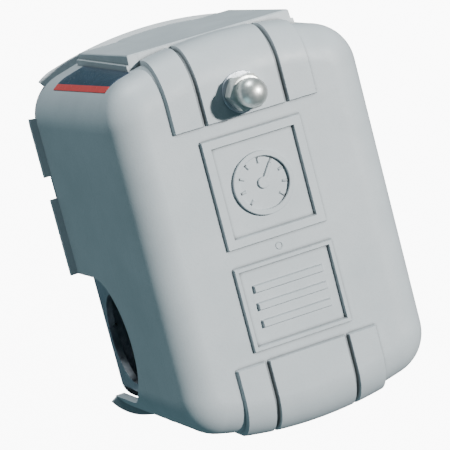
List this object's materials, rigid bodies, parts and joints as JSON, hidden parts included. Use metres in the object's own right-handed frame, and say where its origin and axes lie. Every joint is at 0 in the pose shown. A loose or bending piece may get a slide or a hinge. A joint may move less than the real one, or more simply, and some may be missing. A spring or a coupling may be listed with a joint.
{
  "type": "pressure switch",
  "caption": "Water-pump pressure switch with a moulded cover, domed cap nut, sprung lever, contact block, conduit ears and a threaded pressure port.",
  "frame": {"origin": "centre of the pressure port's mouth", "axes": "+Z along the port's axis and out of the cover's front face, +Y towards the range-spring end with the cap nut, X across the conduit holes"},
  "size_m": [0.0692, 0.094, 0.0919],
  "materials": {
    "cover_plastic": "fine satin moulding texture, light blue-grey",
    "zinc_plate": "zinc plated, satin",
    "cap_zinc": "zinc plated, smooth dome",
    "label_film": "printed film, dark with one red stripe",
    "dark_steel": "plain steel, lightly oiled",
    "bright_steel": "bright ground steel",
    "spring_steel": "zinc plated wire",
    "black_phenolic": "moulded phenolic",
    "rubber": "nitrile rubber",
    "brass": "plain brass",
    "green_zinc": "green passivated"
  },
  "bodies": {
    "base": {"base_plate": "zinc_plate", "port_fitting": "zinc_plate", "pressure_flange": "zinc_plate", "diaphragm": "rubber", "piston_guide": "zinc_plate", "flange_screws": "dark_steel", "lever_pin": "bright_steel", "pin_clips": "dark_steel", "range_stud": "zinc_plate", "stud_nut": "zinc_plate", "range_spring": "spring_steel", "diff_stud": "zinc_plate", "diff_spring": "spring_steel", "contact_bracket": "zinc_plate", "bracket_rivets": "dark_steel", "contact_block": "black_phenolic", "block_screws": "zinc_plate", "fixed_contacts": "brass", "terminal_clamps": "zinc_plate", "terminal_screws": "brass", "carrier_pin": "bright_steel", "ground_screws": "green_zinc"},
    "cover": {"cover": "cover_plastic", "cover_washer": "zinc_plate", "corner_label": "label_film"},
    "cap_nut": {"cover_nut": "cap_zinc"},
    "piston": {"piston": "brass"},
    "lever": {"lever": "zinc_plate", "toggle_spring": "spring_steel"},
    "range_seat": {"range_seat": "zinc_plate"},
    "range_nut": {"range_nut": "brass"},
    "diff_seat": {"diff_seat": "zinc_plate"},
    "diff_nut": {"diff_nut": "brass"},
    "carrier": {"contact_carrier": "black_phenolic", "contact_bridges": "brass", "bridge_springs": "spring_steel"}
  },
  "joints": [
    {"name": "cover_lift", "type": "slide", "parent": "base", "child": "cover", "axis": [0, 0, 1], "range_m": [0, 0.075]},
    {"name": "cap_nut_spin", "type": "hinge", "parent": "cover", "child": "cap_nut", "pos_m": [0, 0.0252, 0.0855], "axis": [0, 0, 1], "continuous": true},
    {"name": "lever_tilt", "type": "hinge", "parent": "base", "child": "lever", "pos_m": [0, -0.01, 0.03], "axis": [1, 0, 0], "range_deg": [0, 1.5], "stiffness_Nm_per_rad": 6},
    {"name": "piston_lift", "type": "slide", "parent": "base", "child": "piston", "axis": [0, 0, 1], "range_m": [0, 0.0003], "deforming": ["diaphragm"]},
    {"name": "carrier_tilt", "type": "hinge", "parent": "base", "child": "carrier", "pos_m": [0, -0.0195, 0.046], "axis": [1, 0, 0], "range_deg": [0, 8.1]},
    {"name": "range_nut_spin", "type": "hinge", "parent": "range_seat", "child": "range_nut", "pos_m": [0, 0.0252, 0.0638], "axis": [0, 0, -1], "range_deg": [0, 1080]},
    {"name": "range_seat_slide", "type": "slide", "parent": "base", "child": "range_seat", "axis": [0, 0, -1], "range_m": [0, 0.0038], "deforming": ["range_spring"]},
    {"name": "diff_nut_spin", "type": "hinge", "parent": "diff_seat", "child": "diff_nut", "pos_m": [-0.0125, 0.0095, 0.052], "axis": [0, 0, -1], "range_deg": [0, 1080]},
    {"name": "diff_seat_slide", "type": "slide", "parent": "base", "child": "diff_seat", "axis": [0, 0, -1], "range_m": [0, 0.00238], "deforming": ["diff_spring"]}
  ],
  "couplings": [
    {"joint": "piston_lift", "follows": "lever_tilt", "m_per_rad": 0.01},
    {"joint": "carrier_tilt", "follows": "lever_tilt", "ratio": 5.3333},
    {"joint": "range_nut_spin", "follows": "range_seat_slide", "rad_per_m": 4947.4},
    {"joint": "diff_nut_spin", "follows": "diff_seat_slide", "rad_per_m": 7913.3}
  ]
}
